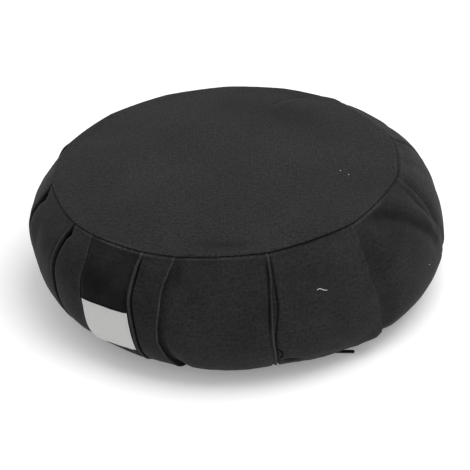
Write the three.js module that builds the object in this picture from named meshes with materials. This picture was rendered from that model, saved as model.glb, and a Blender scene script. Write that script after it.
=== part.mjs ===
// A round meditation cushion: a knife-pleated band of heavy cotton, filled tight between two round panels.
// Millimetres, +Z up. The front, with the label, faces -Y. The origin is the middle of the base.
// Bearings are degrees round the cushion: 0 is the front (-Y), 90 the right (+X), 180 the back.
import * as THREE from 'three';
import { LoftGeometry } from 'three/addons/geometries/LoftGeometry.js';
import { mergeVertices } from 'three/addons/utils/BufferGeometryUtils.js';

// Overall sizes
const SEAM_HEIGHT = 113.2;     // height of the top seam at the middle of the cushion
const SEAM_RISE_RIGHT = 9.25;  // the filling has settled, so the right side of the top seam is higher
const SEAM_DROP_FRONT = 0.45;  // and the front of it a little lower
const SEAM_RADIUS = 157;       // top panel
const BASE_RADIUS = 150;       // base panel
const BASE_SEAM_HEIGHT = 4;    // lower edge of the band above the floor
const BASE_EDGE = BASE_RADIUS - 0.7;   // edge of the base panel, just inside its seam
const TOP_SHIFT = { x: -11.5, y: 2 };   // the top has slipped to the left over the base
const CROWN = 8;               // rise of the top panel above its seam

// Cloth and gaps
const PANEL_THICKNESS = 2;
const LABEL_THICKNESS = 1;
const PIECE_GAP = 0.3;
const SEAM_STRAIGHTENING = 0.38;  // share by which the seam runs straight from pleat to pleat

// The side of the cushion, read in eight directions:
// how far out the girth lies, how high it is, and how steeply the cloth leaves the top seam.
const SIDE = [
  { bearing: -180, girth: 185, height: 50, slope: 50 },
  { bearing: -135, girth: 172, height: 38, slope: 45 },
  { bearing: -90, girth: 180.5, height: 56, slope: 47 },
  { bearing: -45, girth: 187, height: 48, slope: 50 },
  { bearing: 0, girth: 187.5, height: 43, slope: 55 },
  { bearing: 45, girth: 184.8, height: 44, slope: 45 },
  { bearing: 90, girth: 193, height: 43, slope: 32 },
  { bearing: 135, girth: 190, height: 42, slope: 32 },
];

// The knife pleats, from the left round by the front and the back. The cloth on the left of each fold
// lies over the cloth on its right. Columns:
// bearings of the folded edge at the seam, shoulder, girth and base;
// fold: rise of the folded edge; strip: width of the pressed strip along it; belly: how much wider that
// strip is at the shoulder; dip: depth of the dip beside it;
// tuck: depth of the crevice under the fold; reach: width over which the lower cloth comes back out;
// mouth: how much deeper the crevice is near the top seam; low: strength left near the base;
// swell: rise of the cloth between this fold and the next; sink: how far it stands back at the shoulder.
const PLEATS = [
  [-84, -80, -77, -76, 1.8, 1.5, 0, 0.2, 4.6, 6, 0.9, 0.6, 1.2, 0],
  [-56, -56, -55, -52, 2, 1.5, 0, 0.2, 5, 6, 0.9, 0.8, 1.5, 0],
  [-46, -43.8, -42.4, -42, 0.7, 1.2, 0, 0, 1, 5, 0, 0.8, 1, 1.4],
  [-25.5, -26.5, -25.5, -25, 2, 1.7, 0, 0.7, 2.6, 4, 0.6, 1, 1, 0.6],
  [-15, -18, -19, -15, 1.6, 0.8, 0, 0, 3.2, 15, 0.3, 1.1, 1.2, 0.3],
  [13.5, 12.8, 11, 11.8, 2.2, 1, 3.5, 2, 3.2, 4, 0.1, 1.1, 1.2, 0],
  [43.5, 41.5, 43.5, 45, 0.7, 1, 0, 0, 2, 20, 0.3, 0.6, 2, 0],
  [76.5, 74.5, 80, 86, 1.4, 5, 0, 0, 2.8, 16, 0.3, 0.6, 1.9, 0],
  [101, 103, 106, 109, 2, 1.5, 1, 0.3, 3.4, 8, 0.5, 0.7, 3, 0],
  [139, 137, 138, 140, 2.2, 2.2, 0, 0.5, 3.8, 6, 0.8, 0.6, 4.5, 0],
  [158, 157, 156, 157, 1.7, 1.2, 1.5, 0.2, 3, 12, 0.4, 0.8, 3, 0],
  [179, 180, 179, 177, 2.4, 1.8, 1.5, 0.6, 3.6, 6, 0.6, 0.7, 2.5, 0],
  [202, 201, 203, 205, 1.8, 1.3, 0, 0, 3.2, 14, 0.3, 0.9, 2, 0],
  [225, 224, 222, 224, 2.2, 2.4, 0, 0.5, 3.8, 6, 0.7, 0.6, 0.8, 0],
  [249, 250, 249, 248, 1.9, 1.5, 1, 0.2, 3.4, 9, 0.5, 0.7, 0.8, 0],
].map(([seam, shoulder, girth, base, fold, strip, belly, dip, tuck, reach, mouth, low, swell, sink]) => ({
  seam, shoulder, girth, base, fold, strip, belly, dip, tuck, reach, mouth, low, swell, sink,
}));

// Levels run from 0 at the top seam, by 0.5 at the girth, to 1 at the base seam
const SHOULDER_LEVEL = 0.25;
const GIRTH_LEVEL = 0.5;
const BAND_LEVELS = [0, 0.03, 0.075, 0.13, 0.2, 0.28, 0.36, 0.44, 0.52, 0.6, 0.68, 0.77, 0.87, 0.95, 1];

// The blank label is sewn on the band between the third fold and the fourth. Its corners are given as
// bearing and level. It bridges the dip beside the third fold, so it never lies deeper than lowest.
const LABEL = {
  sector: 2,
  topLeft: { bearing: -42.1, level: 0.41 },
  topRight: { bearing: -27, level: 0.372 },
  lowRight: { bearing: -26.1, level: 0.615 },
  lowLeft: { bearing: -41.8, level: 0.68 },
  clearance: 0.4,
  lowest: -0.5,
  columns: 12,
  rows: 8,
};

// The pull of the zip in the base seam lies out on the floor
const ZIP_PULL = {
  length: 28,
  width: 3.6,
  thickness: 1.4,
  neckWidth: 2.4,
  neckLength: 6,
  bearing: 29.4,
  turn: -1,
};

const CLOTH = new THREE.MeshStandardMaterial({ color: 0x1b1b1d, roughness: 0.95, metalness: 0 });
const TOP_CLOTH = new THREE.MeshStandardMaterial({ color: 0x1f1f21, roughness: 0.95, metalness: 0 });
const LABEL_CLOTH = new THREE.MeshStandardMaterial({ color: 0xb9b9b7, roughness: 0.85, metalness: 0 });
const ZIP_ENAMEL = new THREE.MeshStandardMaterial({ color: 0x0c0c0d, roughness: 0.45, metalness: 0.3 });

const radians = THREE.MathUtils.degToRad;
const { lerp, smoothstep } = THREE.MathUtils;

// A value read in the eight directions, smooth all round
function sideValue(bearing, column) {
  const count = SIDE.length;
  let value = 0;
  for (const row of SIDE) {
    const half = radians(bearing - row.bearing) / 2;
    const near = Math.abs(Math.sin(half)) < 1e-9;
    value += row[column] * (near ? 1 : Math.sin(count * half) / (count * Math.tan(half)));
  }
  return value;
}

function bezier(a, b, c, d, s) {
  return (1 - s) ** 3 * a + 3 * (1 - s) ** 2 * s * b + 3 * (1 - s) * s * s * c + s ** 3 * d;
}

function seamHeight(bearing) {
  const angle = radians(bearing);
  return SEAM_HEIGHT + SEAM_RISE_RIGHT * Math.sin(angle) - SEAM_DROP_FRONT * Math.cos(angle);
}

// The bearing of a folded edge at a level, smooth through its four given bearings
function foldBearing(pleat, level) {
  if (level < SHOULDER_LEVEL) {
    return lerp(pleat.seam, pleat.shoulder, Math.sin(level / SHOULDER_LEVEL * Math.PI / 2));
  }
  if (level < GIRTH_LEVEL) {
    return lerp(pleat.shoulder, pleat.girth, smoothstep(level, SHOULDER_LEVEL, GIRTH_LEVEL));
  }
  return lerp(pleat.girth, pleat.base, Math.sin((level - GIRTH_LEVEL) / (1 - GIRTH_LEVEL) * Math.PI / 2));
}

// The pleat after the last one is the first, one turn on
function nextPleat(index) {
  const last = index === PLEATS.length - 1;
  const pleat = PLEATS[last ? 0 : index + 1];
  const turn = last ? 360 : 0;
  return {
    ...pleat,
    seam: pleat.seam + turn,
    shoulder: pleat.shoulder + turn,
    girth: pleat.girth + turn,
    base: pleat.base + turn,
  };
}

// How far the seam stands in from its round line: nothing at a pleat, most halfway to the next
function seamPull(bearing, radius, level) {
  const turned = bearing < foldBearing(PLEATS[0], level) ? bearing + 360 : bearing;
  let index = PLEATS.length - 1;
  while (index > 0 && foldBearing(PLEATS[index], level) > turned) index -= 1;
  const from = foldBearing(PLEATS[index], level);
  const to = foldBearing(nextPleat(index), level);
  const share = (turned - from) / (to - from);
  const sagitta = radius * (1 - Math.cos(radians(to - from) / 2));
  return SEAM_STRAIGHTENING * sagitta * 4 * share * (1 - share);
}

// The filled side without its pleats: radius and height at a bearing and a level
function sideProfile(bearing, level) {
  const top = seamHeight(bearing) - (PANEL_THICKNESS / 2 + PIECE_GAP);
  const girth = sideValue(bearing, 'girth');
  const girthHeight = sideValue(bearing, 'height');
  const slope = radians(sideValue(bearing, 'slope'));
  const span = 0.45 * Math.hypot(girth - SEAM_RADIUS, top - girthHeight);
  const drop = girthHeight - BASE_SEAM_HEIGHT;
  if (level < GIRTH_LEVEL) {
    const s = level / GIRTH_LEVEL;
    return {
      radius: bezier(SEAM_RADIUS, SEAM_RADIUS + span * Math.cos(slope), girth, girth, s),
      height: bezier(top, top - span * Math.sin(slope), girthHeight + span, girthHeight, s),
    };
  }
  const s = (level - GIRTH_LEVEL) / (1 - GIRTH_LEVEL);
  const tuckIn = BASE_RADIUS + 0.55 * (girth - BASE_RADIUS);
  const low = BASE_SEAM_HEIGHT + 0.03 * drop;
  return {
    radius: bezier(girth, girth, tuckIn, BASE_RADIUS, s),
    height: bezier(girthHeight, girthHeight - 0.55 * drop, low, BASE_SEAM_HEIGHT, s),
  };
}

function place(bearing, radius, height) {
  return new THREE.Vector3(
    TOP_SHIFT.x * height / SEAM_HEIGHT + radius * Math.sin(radians(bearing)),
    TOP_SHIFT.y * height / SEAM_HEIGHT - radius * Math.cos(radians(bearing)),
    height,
  );
}

// A point of the side, raised from it by a distance along its outward direction
function sidePoint(bearing, level, raised) {
  const step = 0.004;
  const here = sideProfile(bearing, level);
  const above = sideProfile(bearing, Math.max(level - step, 0));
  const below = sideProfile(bearing, Math.min(level + step, 1));
  const along = Math.hypot(below.radius - above.radius, below.height - above.height);
  const outward = (above.height - below.height) / along;
  const upward = (below.radius - above.radius) / along;
  const pull = seamPull(bearing, here.radius, level) * (1 - smoothstep(level, 0, SHOULDER_LEVEL));
  return place(bearing, here.radius - pull + raised * outward, here.height + raised * upward);
}

// How strongly a pleat shows at a level: held flat in both seams, loose between them
function pleatStrength(pleat, level, atSeam) {
  const fromSeam = lerp(atSeam, 1, smoothstep(level, 0, 0.09));
  const toBase = lerp(1, pleat.low, smoothstep(level, 0.3, 0.7));
  const atBase = lerp(1, 0.35, smoothstep(level, 0.85, 1));
  return fromSeam * toBase * atBase;
}

function tuckDepth(pleat, level) {
  const mouth = 1 + pleat.mouth * Math.exp(-(((level - 0.12) / 0.08) ** 2));
  return pleat.tuck * pleatStrength(pleat, level, 0.35) * mouth;
}

// The cloth between one folded edge and the next at a level, as distances to the right of the first edge
// and outward. It starts deep under the first fold and ends under the next.
function sectorPath(index, level) {
  const pleat = PLEATS[index];
  const next = nextPleat(index);
  const from = foldBearing(pleat, level);
  const to = foldBearing(next, level);
  const radius = sideProfile((from + to) / 2, level).radius;
  const width = radians(to - from) * radius;
  const loose = smoothstep(level, 0, 0.1) * (1 - smoothstep(level, 0.88, 1));
  const tuck = tuckDepth(pleat, level);
  const nextTuck = tuckDepth(next, level);
  const fold = next.fold * pleatStrength(next, level, 0);
  const step = fold + nextTuck;
  const lip = Math.min(0.42 * step, 2);
  const under = lerp(-0.8, 0.6 * step, loose);
  const reach = Math.min(pleat.reach, 0.42 * width);
  const rise = Math.min(12, 0.3 * width);
  const belly = next.belly * Math.exp(-(((level - 0.29) / 0.15) ** 2));
  const strip = Math.min(next.strip + belly, 0.2 * width);
  const bulge = pleat.swell * loose - pleat.sink * Math.exp(-(((level - 0.2) / 0.14) ** 2));
  return {
    from,
    radius,
    points: [
      [Math.min(1.2, 0.15 * reach) + 0.3, -tuck],
      [0.25 * reach, -0.82 * tuck],
      [0.6 * reach, -0.25 * tuck + 0.3 * bulge],
      [reach, 0.75 * bulge],
      [0.5 * (reach + width - rise), bulge],
      [width - rise, 0.6 * bulge],
      [width - strip - 2, 0.7 * fold + 0.1 * bulge - next.dip * loose],
      [width - strip, fold],
      [width, fold - 0.5 * lip],
      [width - 1.2 * loose + 0.3 * (1 - loose), fold - lip],
      [width - under, -nextTuck],
    ],
  };
}

// One closed line round the band at a level, in and out of every pleat
function bandRing(level) {
  const ring = [];
  PLEATS.forEach((pleat, index) => {
    const { from, radius, points } = sectorPath(index, level);
    for (const [across, raised] of points) {
      ring.push(sidePoint(from + THREE.MathUtils.radToDeg(across / radius), level, raised));
    }
  });
  return ring;
}

// Height of the top panel's upper face at a bearing and a share of the way out to the seam
function topHeight(bearing, share) {
  return lerp(SEAM_HEIGHT, seamHeight(bearing), share) + CROWN * (1 - share ** 2.4);
}

// A point under the top panel's upper face, at a share of the way out and a distance in from the seam
function topPoint(bearing, share, inset, below) {
  const seam = SEAM_RADIUS - seamPull(bearing, SEAM_RADIUS, 0);
  return place(bearing, seam * share - inset, topHeight(bearing, share) - below);
}

// Bearings from pleat to pleat, the same number in each sector, so that the panels turn at the pleats
function panelBearings(perSector, level) {
  return PLEATS.flatMap((pleat, index) => {
    const from = foldBearing(pleat, level);
    const to = foldBearing(nextPleat(index), level);
    return Array.from({ length: perSector }, (unused, step) => lerp(from, to, step / perSector));
  });
}

// A closed mesh with its shared corners merged, and without the faces that shrink to nothing
function named(name, geometry, material) {
  const bare = new THREE.BufferGeometry();
  bare.setAttribute('position', geometry.getAttribute('position'));
  bare.setIndex(geometry.getIndex());
  const merged = mergeVertices(bare, 1e-3);
  const faces = [];
  const corners = merged.getIndex().array;
  for (let start = 0; start < corners.length; start += 3) {
    const [a, b, c] = corners.slice(start, start + 3);
    if (a !== b && b !== c && c !== a) faces.push(a, b, c);
  }
  merged.setIndex(faces);
  merged.computeVertexNormals();
  const mesh = new THREE.Mesh(merged, material);
  mesh.name = name;
  return mesh;
}

function bearingOf(point) {
  const x = point.x - TOP_SHIFT.x * point.z / SEAM_HEIGHT;
  const y = point.y - TOP_SHIFT.y * point.z / SEAM_HEIGHT;
  return THREE.MathUtils.radToDeg(Math.atan2(x, -y));
}

// The filled body: the pleated band, closed under the top panel and over the base panel
function pleatedBody() {
  const band = BAND_LEVELS.toReversed().map(bandRing);
  const topBearings = band.at(-1).map(bearingOf);
  const baseBearings = band[0].map(bearingOf);
  const underPanel = PANEL_THICKNESS + PIECE_GAP;
  const underRim = PANEL_THICKNESS / 2 + PIECE_GAP;
  const shelf = 4;
  const sections = [
    baseBearings.map((bearing) => place(bearing, BASE_RADIUS - shelf, underPanel)),
    ...band,
    topBearings.map((bearing) => topPoint(bearing, 1, shelf, underRim)),
    topBearings.map((bearing) => topPoint(bearing, 0.8, 0, underPanel)),
    topBearings.map((bearing) => topPoint(bearing, 0.45, 0, underPanel)),
  ];
  return named('pleated_body', new LoftGeometry(sections, { capStart: true, capEnd: true }), CLOTH);
}

// The domed top panel, a sheet with a rounded edge
function topPanel() {
  const bearings = panelBearings(5, 0);
  const under = PANEL_THICKNESS;
  const ring = (share, inset, below) => bearings.map((bearing) => topPoint(bearing, share, inset, below));
  const sections = [
    ring(0, 0, under),
    ring(0.25, 0, under),
    ring(0.5, 0, under),
    ring(0.8, 0, under),
    ring(1, 3, under - 1),
    ring(1, 0.6, under - 0.9),
    ring(1, -0.2, under - 1.5),
    ring(1, 0.6, under - 2.2),
    ring(1, 3, under - 3),
    ring(0.93, 0, 0),
    ring(0.8, 0, 0),
    ring(0.62, 0, 0),
    ring(0.42, 0, 0),
    ring(0.2, 0, 0),
    ring(0, 0, 0),
  ];
  return named('top_panel', new LoftGeometry(sections), TOP_CLOTH);
}

// The flat base panel that the cushion rests on
function basePanel() {
  const bearings = panelBearings(5, 1);
  const rounding = 0.7;
  const ring = (radius, height) => bearings.map(
    (bearing) => {
      const angle = radians(bearing);
      return new THREE.Vector3(radius * Math.sin(angle), -radius * Math.cos(angle), height);
    },
  );
  const sections = [
    ring(BASE_EDGE - rounding, 0),
    ring(BASE_EDGE, rounding),
    ring(BASE_EDGE, PANEL_THICKNESS - rounding),
    ring(BASE_EDGE - rounding, PANEL_THICKNESS),
  ];
  return named('base_panel', new LoftGeometry(sections, { capStart: true, capEnd: true }), CLOTH);
}

// The label, a small sheet lying on the band
function label() {
  const rows = [];
  for (let row = LABEL.rows; row >= 0; row -= 1) {
    const down = row / LABEL.rows;
    const outer = [];
    const inner = [];
    for (let column = 0; column <= LABEL.columns; column += 1) {
      const along = column / LABEL.columns;
      const top = lerp(LABEL.topLeft.level, LABEL.topRight.level, along);
      const low = lerp(LABEL.lowLeft.level, LABEL.lowRight.level, along);
      const level = lerp(top, low, down);
      const left = lerp(LABEL.topLeft.bearing, LABEL.lowLeft.bearing, down);
      const right = lerp(LABEL.topRight.bearing, LABEL.lowRight.bearing, down);
      const bearing = lerp(left, right, along);
      const raised = Math.max(bandRaise(LABEL.sector, bearing, level), LABEL.lowest) + LABEL.clearance;
      outer.push(sidePoint(bearing, level, raised + LABEL_THICKNESS));
      inner.unshift(sidePoint(bearing, level, raised));
    }
    rows.push([...outer, ...inner]);
  }
  return named('label', new LoftGeometry(rows, { capStart: true, capEnd: true }), LABEL_CLOTH);
}

// How far the cloth of a sector is raised at a bearing and a level, where it is not folded under
function bandRaise(index, bearing, level) {
  const { from, radius, points } = sectorPath(index, level);
  const across = radians(bearing - from) * radius;
  const last = points.length - 4;
  let right = 1;
  while (right < last && points[right][0] < across) right += 1;
  const [leftAcross, leftRaised] = points[right - 1];
  const [rightAcross, rightRaised] = points[right];
  const share = THREE.MathUtils.clamp((across - leftAcross) / (rightAcross - leftAcross), 0, 1);
  return lerp(leftRaised, rightRaised, share);
}

// The zip's pull: a flat tab with a round end, on a narrow neck that reaches to the base seam
function zipPull() {
  const { length, width, thickness, neckWidth, neckLength } = ZIP_PULL;
  const round = width / 2;
  const outline = new THREE.Shape();
  outline.moveTo(0, -neckWidth / 2);
  outline.lineTo(neckLength, -neckWidth / 2);
  outline.lineTo(neckLength + 1, -round);
  outline.lineTo(length - round, -round);
  outline.absarc(length - round, 0, round, -Math.PI / 2, Math.PI / 2);
  outline.lineTo(neckLength + 1, round);
  outline.lineTo(neckLength, neckWidth / 2);
  outline.lineTo(0, neckWidth / 2);
  outline.closePath();
  const bevel = 0.3;
  const geometry = new THREE.ExtrudeGeometry(outline, {
    depth: thickness - 2 * bevel,
    bevelThickness: bevel,
    bevelSize: bevel,
    bevelOffset: -bevel,
    bevelSegments: 1,
    curveSegments: 8,
  });
  const mesh = named('zip_pull', geometry, ZIP_ENAMEL);
  const seat = BASE_EDGE + PIECE_GAP + neckWidth / 2;
  mesh.position.set(
    seat * Math.sin(radians(ZIP_PULL.bearing)),
    -seat * Math.cos(radians(ZIP_PULL.bearing)),
    bevel + 0.1,
  );
  mesh.rotation.z = radians(ZIP_PULL.turn);
  return mesh;
}

const cushion = new THREE.Group();
cushion.add(pleatedBody(), topPanel(), basePanel(), label(), zipPull());

export default cushion;
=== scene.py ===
"""A round meditation cushion in black cotton: a knife-pleated band, a domed top panel and a blank label.

The band is one strip of cloth folded into fifteen knife pleats. The cloth on the left of each fold lies
over the cloth on its right. Shapes are worked out in millimetres and made in metres.
Bearings are degrees round the cushion: 0 is the front, 90 the right, 180 the back.
"""

import math

import bmesh
import bpy
from bpy.props import FloatProperty, FloatVectorProperty, PointerProperty
from mathutils import Matrix, Vector, noise


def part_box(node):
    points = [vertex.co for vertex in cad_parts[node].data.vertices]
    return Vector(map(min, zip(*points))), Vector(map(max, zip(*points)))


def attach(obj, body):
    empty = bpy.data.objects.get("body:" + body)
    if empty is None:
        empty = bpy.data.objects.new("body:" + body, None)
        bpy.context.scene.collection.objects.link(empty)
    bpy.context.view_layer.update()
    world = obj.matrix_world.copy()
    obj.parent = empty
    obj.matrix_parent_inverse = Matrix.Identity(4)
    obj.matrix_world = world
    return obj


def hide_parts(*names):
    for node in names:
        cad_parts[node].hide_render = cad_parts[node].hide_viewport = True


bl_info = {
    "name": "Pleated Meditation Cushion",
    "version": (1, 0, 0),
    "blender": (4, 5, 0),
    "location": "3D View > Sidebar > Cushion",
    "description": "Dresses the packed cushion with its pleated cotton cloth, label, zip pull and stage",
    "category": "Object",
}

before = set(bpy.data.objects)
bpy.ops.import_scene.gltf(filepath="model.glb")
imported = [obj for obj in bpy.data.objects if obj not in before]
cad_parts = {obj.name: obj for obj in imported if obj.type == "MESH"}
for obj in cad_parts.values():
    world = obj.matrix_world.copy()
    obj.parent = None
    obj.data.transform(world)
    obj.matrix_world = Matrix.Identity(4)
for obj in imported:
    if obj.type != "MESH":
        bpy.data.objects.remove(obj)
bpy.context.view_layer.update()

MM = 0.001
BASE_LOW, BASE_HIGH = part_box("base_panel")

# Sizes of the construction, in millimetres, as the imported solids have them
SEAM_HEIGHT = 113.2
SEAM_RISE_RIGHT = 9.25
SEAM_DROP_FRONT = 0.45
SEAM_RADIUS = 157
BASE_EDGE = (BASE_HIGH.x - BASE_LOW.x) / 2 / MM
BASE_RADIUS = BASE_EDGE + 0.7
BASE_SEAM_HEIGHT = 4
TOP_SHIFT = (-11.5, 2)
PANEL_THICKNESS = 2
PIECE_GAP = 0.3
SEAM_STRAIGHTENING = 0.38
RIM_DROP = PANEL_THICKNESS / 2 + PIECE_GAP

# Millimetres of cloth for a level of 1, as the band runs near its top seam and near its base, and the
# radii at which its creases and its unevenness are laid out
CLOTH_FROM_TOP = 165
CLOTH_FROM_BASE = 120
CREASE_RADIUS = 180
RELIEF_RADIUS = 190

# How far the handles of the side's curve reach above the girth and below it, and how far its lowest
# handle stands above the base seam, as shares
SHOULDER_REACH = 0.45
FOOT_REACH = 0.55
FOOT_RISE = 0.03

# How strongly the weave shows on the band and on the round panels
BAND_CONTRAST = 0.5
PANEL_CONTRAST = 0.58

# Distance between the bands of a wave texture whose scale is 1
WAVE_SPACING = 0.314

# The side in eight directions: for each bearing the girth's radius, its height, and the slope of the cloth
# at the top seam
SIDE = {
    -180: (185, 50, 50),
    -135: (172, 38, 45),
    -90: (180.5, 56, 47),
    -45: (187, 48, 50),
    0: (187.5, 43, 55),
    45: (184.8, 44, 45),
    90: (193, 43, 32),
    135: (190, 42, 32),
}

# The knife pleats, from the left round by the front and the back. at: bearings of the folded edge at the
# seam, shoulder, girth and base. fold: rise of the folded edge. strip: width of the pressed strip along it.
# belly: how much wider that strip is at the shoulder. dip: depth of the dip beside the strip. tuck: depth
# of the crevice under the fold. reach: width over which the lower cloth comes back out. mouth: how much
# deeper the crevice is near the top seam. low: strength left near the base. swell: rise of the cloth
# between this fold and the next. sink: how far that cloth stands back at the shoulder. Then the painted
# light and shade of that cloth: painted shade below nothing, painted light above it. Last, how pale the
# folded edge is painted: partly wear, partly a painted highlight.
PLEAT_COLUMNS = (
    "at", "fold", "strip", "belly", "dip", "tuck", "reach", "mouth", "low", "swell", "sink", "painted_light_and_shade", "highlight_and_rub"
)
PLEAT_ROWS = [
    ((-84, -80, -77, -76), 1.8, 1.5, 0.0, 0.2, 4.8, 5.5, 1.1, 0.6, 1.2, 0.0, -0.85, 0.05),
    ((-56, -56, -55, -52), 2.0, 1.5, 0.0, 0.2, 5.0, 5, 0.9, 0.8, 1.5, 0.0, -0.75, 0.05),
    ((-46, -43.8, -42.4, -42), 0.6, 1.2, 0.0, 0.0, 1.0, 4, 0.0, 0.8, 1.0, 1.4, -2.0, 0.08),
    ((-25.5, -26.5, -25.5, -25), 2.0, 1.6, 0.0, 0.7, 2.6, 2.6, 0.6, 1.0, 1.0, 0.6, -0.72, 0.2),
    ((-15, -18, -19, -15), 1.6, 0.8, 0.0, 0.0, 3.2, 15, 0.3, 1.1, 1.2, 0.3, -0.25, 0.28),
    ((13.5, 12.8, 11, 11.8), 2.2, 0.8, 3.7, 2.4, 3.4, 3.2, -0.7, 0.5, 1.2, 0.0, -0.1, 0.45),
    ((43.5, 41.5, 43.5, 45), 0.6, 1.0, 0.0, 0.0, 2.0, 20, 0.3, 0.6, 2.0, 0.0, -0.5, 0.08),
    ((76.5, 75.2, 82, 87), 1.4, 5.0, 0.0, 0.0, 2.8, 16, 0.3, 0.6, 1.9, 0.0, 0.35, 0.05),
    ((101, 103, 106, 109), 2.0, 1.5, 1.0, 0.3, 3.0, 8, 0.0, 0.7, 3.0, 0.0, 0.1, 0.2),
    ((139, 137, 138, 140), 2.2, 2.2, 0.0, 0.5, 3.8, 6, 0.8, 0.6, 4.5, 0.0, -0.1, 0.3),
    ((158, 157, 156, 157), 1.7, 1.2, 1.5, 0.2, 3.0, 12, 0.4, 0.8, 3.0, 0.0, 0.1, 0.3),
    ((179, 180, 179, 177), 2.4, 1.8, 1.5, 0.6, 3.6, 6, 0.6, 0.7, 2.5, 0.0, -0.2, 0.3),
    ((202, 201, 203, 205), 1.8, 1.3, 0.0, 0.0, 3.2, 14, 0.3, 0.9, 2.0, 0.0, -0.35, 0.3),
    ((225, 224, 222, 224), 2.2, 2.4, 0.0, 0.5, 3.8, 6, 0.7, 0.6, 0.8, 0.0, 0.05, 0.3),
    ((249, 250, 249, 248), 1.9, 1.5, 1.0, 0.2, 3.4, 9, 0.5, 0.7, 0.8, 0.0, -0.1, 0.2),
]
PLEATS = [dict(zip(PLEAT_COLUMNS, row)) for row in PLEAT_ROWS]
SECTORS = len(PLEATS)
SHOULDER_LEVEL = 0.25
GIRTH_LEVEL = 0.5

# Soft troughs in the band. Each row has bearing and level along a trough, its width and depth in
# millimetres, and how much painted shade lies along it, where the crease would shade the cloth; below
# nothing it is painted light. Rows with no depth are only patches of painted shade. A depth below
# nothing is a ridge.
BAND_CREASES = [
    ([(49, 0.01), (55.5, 0.035), (59.5, 0.08), (63.5, 0.14), (69, 0.28), (75.5, 0.44)], 6.5, 3.2, 1.05),
    ([(65, 0.03), (68.5, 0.1), (70.5, 0.2), (74, 0.32)], 4, -1.0, -0.15),
    ([(72.5, 0.05), (72.4, 0.14), (74, 0.25), (77, 0.38)], 3, 0.8, 0.4),
    ([(77.5, 0.3), (79.5, 0.4), (81, 0.5)], 4, 0.3, 0.5),
    ([(68, 0.44), (74, 0.42), (76, 0.3)], 14, 0, 1.0),
    ([(50, 0.06), (54, 0.14), (52, 0.24)], 12, 0, 0.25),
    ([(12.4, 0.03), (12.1, 0.12), (11.5, 0.22), (10.7, 0.32), (10.0, 0.44)], 1.9, 0.8, 1.2),
    ([(50, 0.62), (64, 0.58)], 22, 0, 0.9),
    ([(76, 0.36), (85, 0.46), (89, 0.6)], 24, 0, 1.5),
    ([(37, 0.75), (42, 0.7), (47, 0.64)], 12, -6.0, 0),
    ([(46, 0.1), (46.5, 0.2), (45.5, 0.34)], 8, 0.9, 0.25),
    ([(29.3, 0.0), (28.8, 0.05)], 1.8, -0.8, -0.4),
    ([(27.6, 0.0), (27.2, 0.09)], 2.6, 0.7, 0),
    ([(-9.5, 0.0), (-9.2, 0.05)], 2.2, 0.6, 0),
    ([(-14.2, 0.03), (-14, 0.1), (-14.2, 0.17)], 4, 2.0, 0.9),
    ([(12.8, 0.665), (15, 0.685), (17.5, 0.695)], 2.8, 3.2, 2.2),
    ([(18, 0.62), (25, 0.6), (33, 0.62)], 7, 0.9, 0),
    ([(20, 0.53), (36, 0.5)], 16, 0, 0.3),
    ([(-82, 0.06), (-79.5, 0.1), (-79.6, 0.125)], 3.2, 4.0, 1.7),
    ([(-55, 0.05), (-54.2, 0.085)], 2.4, 3.2, 1.4),
    ([(-75, 0.1), (-70, 0.3), (-69, 0.5)], 9, 0.9, 0),
    ([(-35, 0.08), (-34, 0.22), (-36, 0.36)], 9, 0.7, 0),
    ([(-24, 0.06), (-24.4, 0.14)], 2.6, 0.8, 0.5),
    ([(-9, 0.3), (-8, 0.5)], 6, 0.5, 0),
    ([(-1, 0.24), (0, 0.46)], 7, -0.5, -0.12),
    ([(20, 0.34), (30, 0.36), (38, 0.33)], 12, 0.6, 0.14),
    ([(87, 0.06), (92, 0.2), (94, 0.4)], 8, 1.4, 0),
    ([(118, 0.05), (120, 0.25)], 7, 1.2, 0),
    ([(141, 0.01), (141.5, 0.05)], 5, -3.2, 0),
    ([(157, 0.01), (157, 0.05)], 4, -1.8, 0),
    ([(-135, 0.01), (-135, 0.05)], 4, -2.4, 0),
    ([(-111, 0.01), (-111.5, 0.05)], 4, -1.6, 0),
    ([(147, 0.08), (146, 0.2), (147, 0.4)], 8, 1.3, 0),
    ([(190, 0.05), (191, 0.3)], 8, 1.1, 0),
    ([(212, 0.06), (214, 0.25), (211, 0.45)], 7, 1.2, 0),
    ([(238, 0.05), (237, 0.22)], 7, 1.0, 0),
]

# Troughs and dips of the top panel, in rows of the same kind, as points on it in millimetres. The painted
# shade along them darkens the top panel, and where it is below nothing it is painted light.
TOP_CREASES = [
    ([(33, 103), (39, 110), (46, 118), (57, 123), (67, 124)], 3.2, 0.7, 0.06),
    ([(38, 103), (46, 111), (58, 116)], 5, -0.4, 0),
    ([(42, 36), (52, 62)], 26, 2.2, 0),
    ([(15, 62), (34, 68)], 20, 1.3, 0),
    ([(-10, 100), (30, 92), (60, 80), (84, 45)], 22, 0.6, 0.7),
    ([(-34, -139), (0, -141), (16, -141)], 6, 0.3, 0.9),
    ([(-92, -4), (-76, -20)], 22, -0.4, -0.3),
    ([(-60, 100), (0, 118), (45, 100)], 40, 0.4, 0.55),
    ([(-70, -60), (-40, -78)], 26, -1.0, 0),
    ([(-115, 0), (-105, 50)], 30, 0.8, 0.15),
]

# Places of the top seam, as bearing, spread in degrees and strength. The first list says where it gapes,
# or is drawn tight if the strength is below nothing; where it gapes, its groove is also painted darker as
# painted shade. The second says where the band's edge under the seam and the top panel's rolled edge are
# painted paler, partly for wear and partly as a painted highlight.
SEAM_GAPES = [(28, 15, 1.0), (86, 16, 1.6), (-36, 14, -0.5), (52, 8, -0.3)]
SEAM_HIGHLIGHTS_AND_RUBS = [(-34, 13, 1.0), (2, 12, 0.25), (53, 9, 0.6)]

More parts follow.
